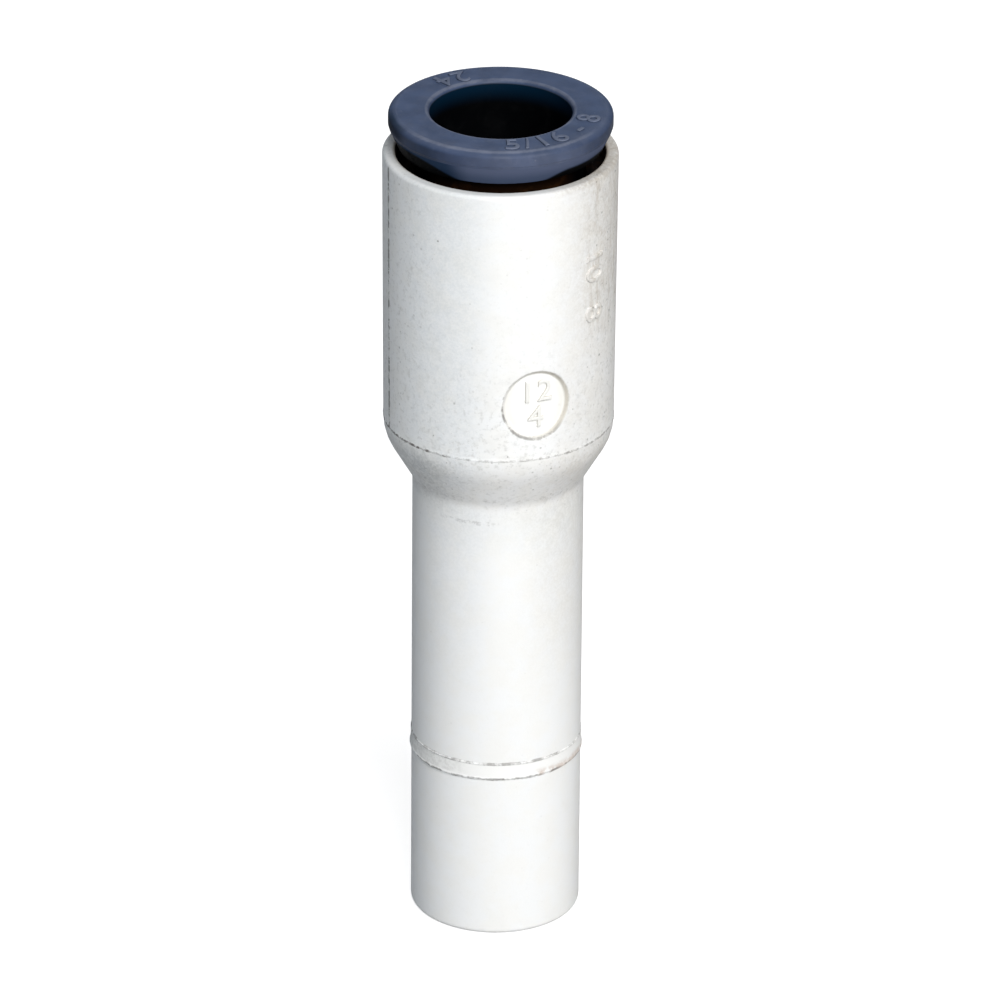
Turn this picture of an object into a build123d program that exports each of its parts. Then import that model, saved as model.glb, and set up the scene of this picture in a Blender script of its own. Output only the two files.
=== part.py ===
from build123d import *
from math import atan, cos, radians, sin, tan
import os

# Plug-in stem reducer: a 10 mm stem below, and a push-in port for an 8 mm tube above
# Millimetres; the origin is the middle of the stem's end face, and +Z runs up the axis

# Tube, and the walls and clearances of the rings that hold it, from the tube outwards
tube_radius = 4.0
tube_clearance = 0.1
sleeve_wall = 0.7
lip_clearance = 0.15
hook_depth = 0.5
hook_clearance = 0.15
retainer_wall = 0.6
mouth_wall = 0.75

# Body
stem_radius = 5.0
stem_bore_radius = 3.3
stem_length = 28.13
body_length = 48.6
barrel_draft_angle = 0.32
shoulder_angle = 30.5
shoulder_round = 3.0
shoulder_foot_round = 1.25
stem_end_round = 0.35
stem_bore_chamfer = 0.3
mouth_edge_round = 0.25

# Band that the mould left round the stem, with a thin ridge along each edge
band_foot = 10.3
band_width = 1.1
band_proud = 0.04
ridge_width = 0.16
ridge_proud = 0.09

# Round recess that a mould insert left low on the barrel, turned from the front to the right
insert_radius = 2.1
insert_depth = 0.2
insert_turn = 19.0
insert_above_corner = 4.37

# Stack of rings inside the barrel, from the rim down
retainer_recess = 1.1
lip_thickness = 1.0
chamber_depth = 3.1
grip_thickness = 0.3
spacer_height = 2.5
gland_height = 2.8
socket_depth = 5.6
ring_fit = 0.02

# Snap bead on the retaining ring, and the room round it in the body's groove
bead_proud = 0.1
bead_height = 1.0
bead_above_foot = 1.6
bead_clearance = 0.04
lip_chamfer = 0.3

# Release ring
press_stroke = 0.85
stop_gap = 0.03
flange_overhang = 0.4
flange_height = 1.05
flange_edge_round = 0.35
cone_height = 1.05
cone_inset = 0.15
port_edge_round = 0.25
hook_height = 0.75
hook_ramp = 0.5
hook_gap = 0.05
nose_wall = 0.35
nose_taper = 0.6
nose_gap = 0.4
slot_count = 4
slot_width = 0.8
slot_turn = 45.0
slot_below_flange = 1.0

# Grip ring
tooth_count = 12
tooth_gap = 0.6
tooth_angle = 40.0
tooth_root_inset = 0.45
tooth_bite = 0.1

# Spacer ring, seal and tube socket
spacer_clearance = 0.15
spacer_land = 0.8
tooth_relief = 0.2
socket_clearance = 0.08
socket_chamfer = 0.3
gland_depth = 1.47
seal_fit = 0.03
seal_squeeze = 0.1
seal_height = 2.5
seal_edge_round = 0.8

# Radii from the tube outwards
port_radius = tube_radius + tube_clearance
sleeve_radius = port_radius + sleeve_wall
hook_radius = sleeve_radius + hook_depth
lip_radius = sleeve_radius + lip_clearance
chamber_radius = hook_radius + hook_clearance
mouth_radius = chamber_radius + retainer_wall
rim_radius = mouth_radius + mouth_wall
ring_radius = mouth_radius - ring_fit
socket_radius = tube_radius + socket_clearance
gland_radius = socket_radius + gland_depth

# Heights from the rim down
retainer_top = body_length - retainer_recess
lip_foot = retainer_top - lip_thickness
retainer_foot = lip_foot - chamber_depth
spacer_top = retainer_foot - grip_thickness
shelf = spacer_top - spacer_height
gland_foot = shelf - gland_height
tube_stop = gland_foot - socket_depth
bead_foot = retainer_foot + bead_above_foot
bead_top = bead_foot + bead_height

# Corner where the drafted barrel would meet the shoulder's cone
draft_slope = tan(radians(barrel_draft_angle))
shoulder_slope = tan(radians(shoulder_angle))
foot_width = rim_radius - draft_slope * (body_length - stem_length)
corner_height = stem_length + (foot_width - stem_radius) / (shoulder_slope - draft_slope)
corner_radius = rim_radius - draft_slope * (body_length - corner_height)

# The pressed release ring stops where its cone meets the rounded edge of the mouth
flange_radius = mouth_radius + flange_overhang
cone_foot_radius = mouth_radius - cone_inset
cone_slope = (flange_radius - cone_foot_radius) / cone_height
cone_tilt = atan(cone_slope)
contact_radius = mouth_radius + mouth_edge_round * (1 - cos(cone_tilt))
contact_height = body_length - mouth_edge_round * (1 - sin(cone_tilt))
pressed_cone_foot = contact_height - (contact_radius - cone_foot_radius) / cone_slope
cone_foot = pressed_cone_foot + press_stroke + stop_gap
flange_foot = cone_foot + cone_height
release_top = flange_foot + flange_height

# Teeth slope down and inwards, and the release ring's nose stands just above them
tooth_slope = tan(radians(tooth_angle))
tooth_root_radius = chamber_radius - tooth_root_inset
tooth_tip_radius = tube_radius - tooth_bite
tooth_tip = retainer_foot - tooth_slope * (tooth_root_radius - tooth_tip_radius)
tooth_end_radius = tooth_tip_radius + grip_thickness * sin(radians(tooth_angle))
tooth_end = tooth_tip - grip_thickness * cos(radians(tooth_angle))
tooth_fold_radius = tooth_root_radius + grip_thickness * tan(radians(tooth_angle / 2))
nose_radius = port_radius + nose_wall
nose_foot = retainer_foot - tooth_slope * (tooth_root_radius - nose_radius) + nose_gap
hook_top = lip_foot - hook_gap
hook_foot = hook_top - hook_height
slot_top = cone_foot - slot_below_flange


def corner(sketch, radius, height):
    """The sketch's own corner nearest to a radius and a height."""
    return sketch.vertices().sort_by_distance(Vector(radius, height))[0]


# Body, turned from one section
with BuildPart() as body:
    with BuildSketch(Plane.XZ) as body_section:
        with BuildLine():
            Polyline(
                (stem_bore_radius, stem_bore_chamfer),
                (stem_bore_radius + stem_bore_chamfer, 0),
                (stem_radius, 0),
                (stem_radius, band_foot),
                (stem_radius + ridge_proud, band_foot),
                (stem_radius + ridge_proud, band_foot + ridge_width),
                (stem_radius + band_proud, band_foot + ridge_width),
                (stem_radius + band_proud, band_foot + band_width - ridge_width),
                (stem_radius + ridge_proud, band_foot + band_width - ridge_width),
                (stem_radius + ridge_proud, band_foot + band_width),
                (stem_radius, band_foot + band_width),
                (stem_radius, stem_length),
                (corner_radius, corner_height),
                (rim_radius, body_length),
                (mouth_radius, body_length),
                (mouth_radius, bead_top + bead_clearance),
                (mouth_radius + bead_proud, bead_top + bead_clearance - bead_proud),
                (mouth_radius + bead_proud, bead_foot - bead_clearance + bead_proud),
                (mouth_radius, bead_foot - bead_clearance),
                (mouth_radius, shelf),
                (gland_radius, shelf),
                (gland_radius, gland_foot),
                (socket_radius + socket_chamfer, gland_foot),
                (socket_radius, gland_foot - socket_chamfer),
                (socket_radius, tube_stop),
                (stem_bore_radius, tube_stop),
                close=True,
            )
        make_face()
        fillet(corner(body_section, stem_radius, 0), stem_end_round)
        fillet(corner(body_section, stem_radius, stem_length), shoulder_foot_round)
        fillet(corner(body_section, corner_radius, corner_height), shoulder_round)
        fillet(corner(body_section, rim_radius, body_length), mouth_edge_round)
        fillet(corner(body_section, mouth_radius, body_length), mouth_edge_round)
    revolve(axis=Axis.Z)

# Mould insert: a disc's outline pressed into the barrel to one depth all over
insert_height = corner_height + insert_above_corner
insert_floor_radius = rim_radius - draft_slope * (body_length - insert_height) - insert_depth
insert_direction = Vector(sin(radians(insert_turn)), -cos(radians(insert_turn)), 0)
with BuildPart() as insert:
    with BuildSketch(Plane.XY.offset(insert_height)):
        Circle(2 * rim_radius)
        Circle(insert_floor_radius, mode=Mode.SUBTRACT)
    extrude(amount=2 * insert_radius, both=True)
    with BuildSketch(Plane(origin=(0, 0, insert_height), z_dir=insert_direction)):
        Circle(insert_radius)
    extrude(amount=2 * rim_radius, mode=Mode.INTERSECT)

with body:
    add(insert.part, mode=Mode.SUBTRACT)
body.part.label = "body"

# Seal: flat where it lies on the gland, rounded towards the tube
seal_outer_radius = gland_radius - seal_fit
seal_inner_radius = tube_radius - seal_squeeze
with BuildPart() as seal_ring:
    with BuildSketch(Plane.XZ) as seal_section:
        with BuildLine():
            Polyline(
                (seal_inner_radius, gland_foot),
                (seal_outer_radius, gland_foot),
                (seal_outer_radius, gland_foot + seal_height),
                (seal_inner_radius, gland_foot + seal_height),
                close=True,
            )
        make_face()
        fillet(corner(seal_section, seal_inner_radius, gland_foot), seal_edge_round)
        fillet(corner(seal_section, seal_inner_radius, gland_foot + seal_height), seal_edge_round)
    revolve(axis=Axis.Z)
seal_ring.part.label = "seal_ring"

# Spacer ring: its cone leaves the teeth room to bend down
spacer_radius = tube_radius + spacer_clearance
with BuildPart() as spacer_ring:
    with BuildSketch(Plane.XZ):
        with BuildLine():
            Polyline(
                (spacer_radius, shelf),
                (ring_radius, shelf),
                (ring_radius, spacer_top),
                (tooth_root_radius + tooth_relief, spacer_top),
                (spacer_radius, shelf + spacer_land),
                close=True,
            )
        make_face()
    revolve(axis=Axis.Z)
spacer_ring.part.label = "spacer_ring"

# Grip ring: a flat rim with coned teeth
with BuildPart() as grip_ring:
    with BuildSketch(Plane.XZ):
        with BuildLine():
            Polyline(
                (ring_radius, retainer_foot),
                (tooth_root_radius, retainer_foot),
                (tooth_tip_radius, tooth_tip),
                (tooth_end_radius, tooth_end),
                (tooth_fold_radius, spacer_top),
                (ring_radius, spacer_top),
                close=True,
            )
        make_face()
    revolve(axis=Axis.Z)
    with BuildSketch(Plane.XY.offset(retainer_foot)):
        with PolarLocations(tooth_root_radius / 2, tooth_count):
            Rectangle(tooth_root_radius, tooth_gap)
        with PolarLocations(tooth_root_radius, tooth_count):
            Circle(tooth_gap / 2)
    extrude(amount=tooth_end - retainer_foot, mode=Mode.SUBTRACT)
grip_ring.part.label = "grip_ring"

# Retaining ring: a lip over the release ring's hooks, and a bead that snaps into the body
with BuildPart() as retaining_ring:
    with BuildSketch(Plane.XZ) as retainer_section:
        with BuildLine():
            Polyline(
                (chamber_radius, retainer_foot),
                (ring_radius, retainer_foot),
                (ring_radius, bead_foot),
                (ring_radius + bead_proud, bead_foot + bead_proud),
                (ring_radius + bead_proud, bead_top - bead_proud),
                (ring_radius, bead_top),
                (ring_radius, retainer_top),
                (lip_radius, retainer_top),
                (lip_radius, lip_foot),
                (chamber_radius, lip_foot),
                close=True,
            )
        make_face()
        chamfer(corner(retainer_section, lip_radius, retainer_top), lip_chamfer)
    revolve(axis=Axis.Z)
retaining_ring.part.label = "retaining_ring"

# Release ring: flange and cone above the mouth, slotted sleeve with hooks and a nose below
with BuildPart() as release_ring:
    with BuildSketch(Plane.XZ) as release_section:
        with BuildLine():
            Polyline(
                (port_radius, nose_foot),
                (nose_radius, nose_foot),
                (sleeve_radius, nose_foot + nose_taper),
                (sleeve_radius, hook_foot - hook_ramp),
                (hook_radius, hook_foot),
                (hook_radius, hook_top),
                (sleeve_radius, hook_top),
                (sleeve_radius, cone_foot),
                (cone_foot_radius, cone_foot),
                (flange_radius, flange_foot),
                (flange_radius, release_top),
                (port_radius, release_top),
                close=True,
            )
        make_face()
        fillet(corner(release_section, flange_radius, release_top), flange_edge_round)
        fillet(corner(release_section, port_radius, release_top), port_edge_round)
    revolve(axis=Axis.Z)
    with BuildSketch(Plane.XY.offset(nose_foot)):
        with PolarLocations(hook_radius, slot_count, start_angle=slot_turn):
            Rectangle(2 * hook_radius, slot_width)
    extrude(amount=slot_top - nose_foot, mode=Mode.SUBTRACT)
release_ring.part.label = "release_ring"

os.makedirs("parts", exist_ok=True)
for piece in (body, seal_ring, spacer_ring, grip_ring, retaining_ring, release_ring):
    export_step(piece.part, f"parts/{piece.part.label}.step")
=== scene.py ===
from collections import namedtuple
from math import atan2, ceil, cos, pi, radians, sin, sqrt, tan

import bmesh
import bpy
from bpy.props import FloatProperty, FloatVectorProperty, IntProperty, PointerProperty, StringProperty
from mathutils import Matrix, Vector
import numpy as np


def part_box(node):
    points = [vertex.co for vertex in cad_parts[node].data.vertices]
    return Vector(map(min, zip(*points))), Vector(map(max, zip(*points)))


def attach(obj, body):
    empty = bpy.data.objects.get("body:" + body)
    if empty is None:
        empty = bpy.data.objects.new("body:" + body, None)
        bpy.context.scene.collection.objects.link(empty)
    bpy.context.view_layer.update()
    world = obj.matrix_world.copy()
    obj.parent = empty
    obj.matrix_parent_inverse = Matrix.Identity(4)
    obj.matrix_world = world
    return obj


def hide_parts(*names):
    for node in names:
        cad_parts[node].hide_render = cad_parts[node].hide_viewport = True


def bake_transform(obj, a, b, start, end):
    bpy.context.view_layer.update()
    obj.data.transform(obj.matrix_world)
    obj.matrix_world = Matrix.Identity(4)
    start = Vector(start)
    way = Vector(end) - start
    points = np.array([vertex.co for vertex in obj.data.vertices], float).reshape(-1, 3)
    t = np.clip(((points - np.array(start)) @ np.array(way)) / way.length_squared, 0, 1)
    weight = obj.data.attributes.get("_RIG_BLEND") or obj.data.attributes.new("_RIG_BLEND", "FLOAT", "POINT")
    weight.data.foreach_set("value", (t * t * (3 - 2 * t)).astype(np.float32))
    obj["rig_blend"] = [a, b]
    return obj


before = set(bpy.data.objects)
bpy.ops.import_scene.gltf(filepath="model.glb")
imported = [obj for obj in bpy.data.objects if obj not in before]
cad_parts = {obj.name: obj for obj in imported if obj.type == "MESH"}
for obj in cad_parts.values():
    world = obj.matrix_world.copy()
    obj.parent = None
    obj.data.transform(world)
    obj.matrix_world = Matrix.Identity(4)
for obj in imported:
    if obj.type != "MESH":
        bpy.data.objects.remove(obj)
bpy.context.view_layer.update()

bl_info = {
    "name": "Stem reducer",
    "version": (1, 0, 0),
    "blender": (4, 5, 0),
    "location": "View3D > Sidebar > Stem reducer",
    "description": "Dresses a plug-in stem reducer: moulded body, release ring, inner rings and stage",
    "category": "Object",
}

# Sections are written in millimetres; their meshes are in metres
MM = 0.001
_, body_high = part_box("body")
release_low, release_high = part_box("release_ring")
retaining_low, retaining_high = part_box("retaining_ring")
spacer_low, spacer_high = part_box("spacer_ring")
seal_low, seal_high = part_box("seal_ring")

# Sizes in millimetres, as the solids have them. The body:
STEM = 5.0
STEM_BORE = 3.3
SHOULDER_FOOT = 28.13
SHOULDER_ANGLE = radians(30.5)
DRAFT = tan(radians(0.32))
RIM = body_high.x / MM
LENGTH = body_high.z / MM
MOUTH = RIM - 0.75
SHELF = spacer_low.z / MM
GLAND = 5.55
GLAND_FOOT = seal_low.z / MM
SOCKET = 4.08
TUBE_STOP = 32.2
SEAM = 31.9
BAND_FOOT = 10.34
BAND_TOP = 11.41
# The snap groove in its mouth: depth, foot and top
SNAP = 0.1
SNAP_FOOT = 44.96
SNAP_TOP = 46.14
# The release ring, whose top is a little above the solid's, and its hooks; its slots' drop and reach are
# in metres
PORT = 4.1
RELEASE_TOP = release_high.z / MM + 0.02
FLANGE = release_high.x / MM
SLEEVE = 4.8
HOOK = 0.5
HOOK_FOOT = 45.7
HOOK_TOP = 46.45
SLOT_DROP = 0.0031
SLOT_REACH = 0.0062
# The inner rings
SEAL_BORE = 3.9
SPACER_BORE = 4.15
TOOTH_ROOT = 5.0
# The recess: its middle, how much wider and taller than round it is, and half of the window cut for it
INSERT_HEIGHT = 35.32
INSERT_WIDE = 0.966
INSERT_TALL = 1.03
WINDOW = 2.6
# Two faint dotted lines of dirt round the shoulder and the stem
SHOULDER_LINE = 28.6
STEM_LINE = 27.05

# Raised numerals, in metres: height, relief, rounded share of the relief, and spacing
INSERT_NUMERALS = {"height": 0.0019, "relief": 0.00007, "soft": 1.0, "spread": 1.1}
BARREL_NUMERALS = {"height": 0.0021, "relief": 0.00008, "soft": 0.7, "spread": 1.0}
FLANGE_NUMERALS = {"height": 0.00195, "relief": 0.00007, "soft": 0.7, "spread": 1.15}
# Longest flat run in a numeral before it is bent round its surface, and where on the barrel the sizes stand
NUMERAL_STEP = 0.00015
BARREL_TURN = radians(52.5)

Corner = namedtuple("Corner", "radius height round step flash parting", defaults=(0.0, 0.0, 0.0, 0.0))


def length_setting(name, note, default):
    return FloatProperty(name=name, description=note, default=default, unit="LENGTH", precision=6)


def angle_setting(name, note, degrees):
    return FloatProperty(name=name, description=note, default=radians(degrees), subtype="ANGLE")


def power_setting(name, note, default):
    return FloatProperty(name=name, description=note, default=default, unit="POWER")


def colour_setting(name, note, default):
    return FloatVectorProperty(
        name=name, description=note, default=default, size=3, subtype="COLOR", min=0.0, max=1.0)


def text_setting(name, note, default):
    return StringProperty(name=name, description=note, default=default)


class BodyLook(bpy.types.PropertyGroup):
    columns: IntProperty(
        name="Columns", description="Faces round the turned body", default=384, min=64, max=720)
    flash_height: length_setting(
        "Flash height", "How far the ragged mould flash stands out or is nicked", 0.00006)
    flash_patches: FloatProperty(
        name="Flash patches", description="How many high and low places the flash has per millimetre",
        default=1.1, min=0.0)
    parting_angle: angle_setting(
        "Parting line", "Where the mould halves met, turned from the right-hand side", -160.5)
    parting_height: length_setting("Parting line height", "Height of the bead down the barrel", 0.00003)
    insert_turn: angle_setting(
        "Insert turn", "Round mould insert, turned from the front to the right", 19.3)
    insert_radius: length_setting(
        "Insert radius", "Radius of the recess that the mould insert left", 0.00202)
    insert_depth: length_setting("Insert depth", "Depth of the recess", 0.00026)
    mould_number: text_setting("Mould number", "Plain number raised high on the recess floor", "12")
    cavity_number: text_setting("Cavity number", "Plain number raised low on the recess floor", "4")
    stem_size: text_setting("Stem size", "Stem size in millimetres, raised on the barrel", "10")
    tube_size: text_setting("Tube size", "Tube size in millimetres, raised on the barrel", "8")
    plastic: colour_setting("Plastic", "White of the moulded body", (0.87, 0.88, 0.885))
    grime: colour_setting("Grime", "Colour of the dirt in the seams", (0.15, 0.14, 0.13))
    grime_amount: FloatProperty(
        name="Grime amount", description="How much dirt lies in the seams", default=0.75, min=0.0, max=1.0)


class ReleaseLook(bpy.types.PropertyGroup):
    columns: IntProperty(
        name="Columns", description="Faces round the turned ring", default=256, min=64, max=720)
    slots: IntProperty(
        name="Slots", description="Slots that split the sleeve into fingers", default=4, min=2, max=8)
    slot_width: length_setting("Slot width", "Width of one slot", 0.0008)
    slot_turn: angle_setting("Slot turn", "Turn of the first slot", 45.0)
    tube_sizes: text_setting(
        "Tube sizes", "Tube size in inches and millimetres, raised on the flange", "5/16 - 8")
    mould_number: text_setting("Mould number", "Plain number raised on the flange's far side", "24")
    plastic: colour_setting("Plastic", "Blue-grey of the release ring", (0.042, 0.066, 0.135))


class InnerLook(bpy.types.PropertyGroup):
    columns: IntProperty(
        name="Columns", description="Faces round each inner ring", default=192, min=48, max=720)
    teeth: IntProperty(
        name="Teeth", description="Teeth on the grip ring", default=12, min=4, max=24)
    tooth_gap: length_setting("Tooth gap", "Width of the slot between two teeth", 0.0006)
    retainer: colour_setting("Retainer", "Black of the retaining ring", (0.006, 0.005, 0.005))
    steel: colour_setting("Steel", "Colour of the stamped grip ring", (0.62, 0.61, 0.59))
    spacer: colour_setting("Spacer", "Natural colour of the spacer ring", (0.72, 0.69, 0.6))
    rubber: colour_setting("Rubber", "Black of the seal", (0.018, 0.018, 0.019))


class StageLook(bpy.types.PropertyGroup):
    camera_distance: length_setting("Camera distance", "From the camera to the fitting's middle", 0.5458)
    camera_rise: angle_setting("Camera rise", "How far the camera looks down", 26.16)
    camera_lens: FloatProperty(name="Lens", description="Focal length", default=336.0, unit="CAMERA")
    camera_roll: angle_setting("Camera roll", "Lean of the picture", 0.45)
    aim_right: angle_setting("Aim right", "How far right of the axis the camera looks", 0.0135)
    aim_up: angle_setting("Aim up", "How far above the middle the camera looks", 0.1120)
    floor: colour_setting("Floor", "Colour of the floor", (0.45, 0.45, 0.45))
    floor_glow: FloatProperty(
        name="Floor glow", description="Lift of the floor towards white for the camera", default=0.82)
    floor_bounce: FloatProperty(
        name="Floor bounce", description="Share of light that the floor throws back", default=0.53)
    key: power_setting("Key light", "Power of the main light", 12.0)
    back: power_setting("Back light", "Power of the back light", 5.0)
    left: power_setting("Left light", "Power of the cool light on the left", 0.3)
    right: power_setting("Right light", "Power of the warm light on the right", 0.1)
    sky: FloatProperty(name="Sky", description="Strength of the light all round", default=0.065)


class Bench:
    """A node tree with short calls for its nodes, links and named inputs."""

    def __init__(self, tree):
        self.tree = tree

    def add(self, kind, sockets=None, **settings):
        node = self.tree.nodes.new(kind)
        for name, value in settings.items():
            setattr(node, name, value)
        for key, value in (sockets or {}).items():
            self.put(node.inputs[key], value)
        return node

    def put(self, socket, value):
        if isinstance(value, bpy.types.Node):
            value = next(s for s in value.outputs if s.enabled)
        if isinstance(value, bpy.types.NodeSocket):
            self.tree.links.new(value, socket)
        else:
            socket.default_value = value

    def math(self, operation, *values, clamp=False):
        node = self.tree.nodes.new("ShaderNodeMath")
        node.operation = operation
        node.use_clamp = clamp
        for socket, value in zip(node.inputs, values):
            self.put(socket, value)
        return node.outputs[0]

    def chain(self, operation, values, clamp=False):
        result = values[0]
        for value in values[1:-1]:
            result = self.math(operation, result, value)
        return self.math(operation, result, values[-1], clamp=clamp)

    def times(self, *values, clamp=False):
        return self.chain("MULTIPLY", values, clamp)

    def plus(self, *values):
        return self.chain("ADD", values)

    def most(self, *values):
        return self.chain("MAXIMUM", values)

    def minus(self, a, b):
        return self.math("SUBTRACT", a, b)

    def size(self, value):
        return self.math("ABSOLUTE", value)

    def reach(self, a, b):
        """The distance that lies a along one axis and b along the other."""
        return self.math("SQRT", self.plus(self.times(a, a), self.times(b, b)))

    def split(self, vector):
        return self.add("ShaderNodeSeparateXYZ", {0: vector}).outputs

    def noise(self, place, scale, detail, roughness=0.5, distortion=0.0):
        return self.add("ShaderNodeTexNoise", {
            "Vector": place, "Scale": scale, "Detail": detail, "Roughness": roughness,
            "Distortion": distortion}).outputs[0]

    def ramp(self, value, low, high, to_low=0.0, to_high=1.0):
        """A soft step while the value goes from low to high."""
        node = self.add("ShaderNodeMapRange", interpolation_type="SMOOTHSTEP")
        for name, v in (("Value", value), ("From Min", low), ("From Max", high),
                        ("To Min", to_low), ("To Max", to_high)):
            self.put(node.inputs[name], v)
        return node.outputs[0]

    def fall(self, value, low, high):
        return self.ramp(value, low, high, 1.0, 0.0)

    def window(self, value, low, from_low, to_high, high):
        """Rises from low to from_low, and falls from to_high to high."""
        return self.times(self.ramp(value, low, from_low), self.fall(value, to_high, high))

    def mix(self, factor, a, b, blend="MIX"):
        """Two colours mixed."""
        node = self.tree.nodes.new("ShaderNodeMix")
        node.data_type = "RGBA"
        node.blend_type = blend
        for socket, value in ((node.inputs[0], factor), (node.inputs[6], a), (node.inputs[7], b)):
            self.put(socket, value)
        return node.outputs[2]

    def tint(self, tone, colour, *masks, blend="MIX", clamp=False):
        """The tone turned to a colour where every mask is."""
        share = self.times(*masks, clamp=clamp) if len(masks) > 1 else masks[0]
        return self.mix(share, tone, rgba(colour), blend)

    def shade(self, tone, colour, *masks, clamp=False):
        """The tone multiplied by a colour where every mask is."""
        return self.tint(tone, colour, *masks, blend="MULTIPLY", clamp=clamp)

    def numbers(self, values):
        """Number inputs with their default values."""
        for name, value in values.items():
            self.socket(name, "Float", value)

    def socket(self, name, kind, value=None, out=False, low=None):
        made = self.tree.interface.new_socket(
            name=name, in_out="OUTPUT" if out else "INPUT", socket_type="NodeSocket" + kind)
        if value is not None:
            made.default_value = value
        if low is not None:
            made.min_value = low
        return made


def rgba(colour):
    return (*colour, 1.0)


def toned(colour, *shares):
    """A colour with its red, green and blue taken times a share each."""
    return rgba([min(1.0, part * share) for part, share in zip(colour, shares)])


def outline(corners):
    """A closed section's points (radius, height, flash, parting): corners rounded, runs cut into steps."""
    count = len(corners)
    arcs = []
    for i, corner in enumerate(corners):
        here = Vector((corner.radius, corner.height))
        to_before = Vector(corners[i - 1][:2]) - here
        to_after = Vector(corners[(i + 1) % count][:2]) - here
        if corner.round <= 0:
            arcs.append([here])
            continue
        opening = to_before.angle(to_after)
        back = corner.round / tan(opening / 2)
        start = here + to_before.normalized() * back
        end = here + to_after.normalized() * back
        middle = to_before.normalized() + to_after.normalized()
        centre = here + middle.normalized() * corner.round / sin(opening / 2)
        first = atan2(start.y - centre.y, start.x - centre.x)
        sweep = atan2(end.y - centre.y, end.x - centre.x) - first
        sweep = (sweep + pi) % (2 * pi) - pi
        steps = max(2, ceil(abs(sweep) / radians(11)))
        arcs.append([
            centre + corner.round * Vector((cos(first + sweep * k / steps), sin(first + sweep * k / steps)))
            for k in range(steps + 1)])
    points = []
    for i, corner in enumerate(corners):
        after = corners[(i + 1) % count]
        start, end = arcs[i][-1], arcs[(i + 1) % count][0]
        points += [(p.x, p.y, corner.flash, corner.parting) for p in arcs[i]]
        cuts = ceil((end - start).length / corner.step) if corner.step else 1
        for k in range(1, cuts):
            p = start.lerp(end, k / cuts)
            share = k / cuts
            points.append((p.x, p.y, corner.flash * (1 - share) + after.flash * share, corner.parting))
    return points


def linked(name, data):
    """A new object in the scene."""
    piece = bpy.data.objects.new(name, data)
    bpy.context.scene.collection.objects.link(piece)
    return piece


def section_object(name, points):
    """The section as a mesh of points, with the attributes that the turning reads."""
    mesh = bpy.data.meshes.new(name)
    mesh.from_pydata([(r * MM, 0, z * MM) for r, z, _, _ in points], [], [])
    for label, column in (("flash", 2), ("parting", 3)):
        mesh.attributes.new(label, "FLOAT", "POINT").data.foreach_set("value", [p[column] for p in points])
    return linked(name, mesh)


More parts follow.
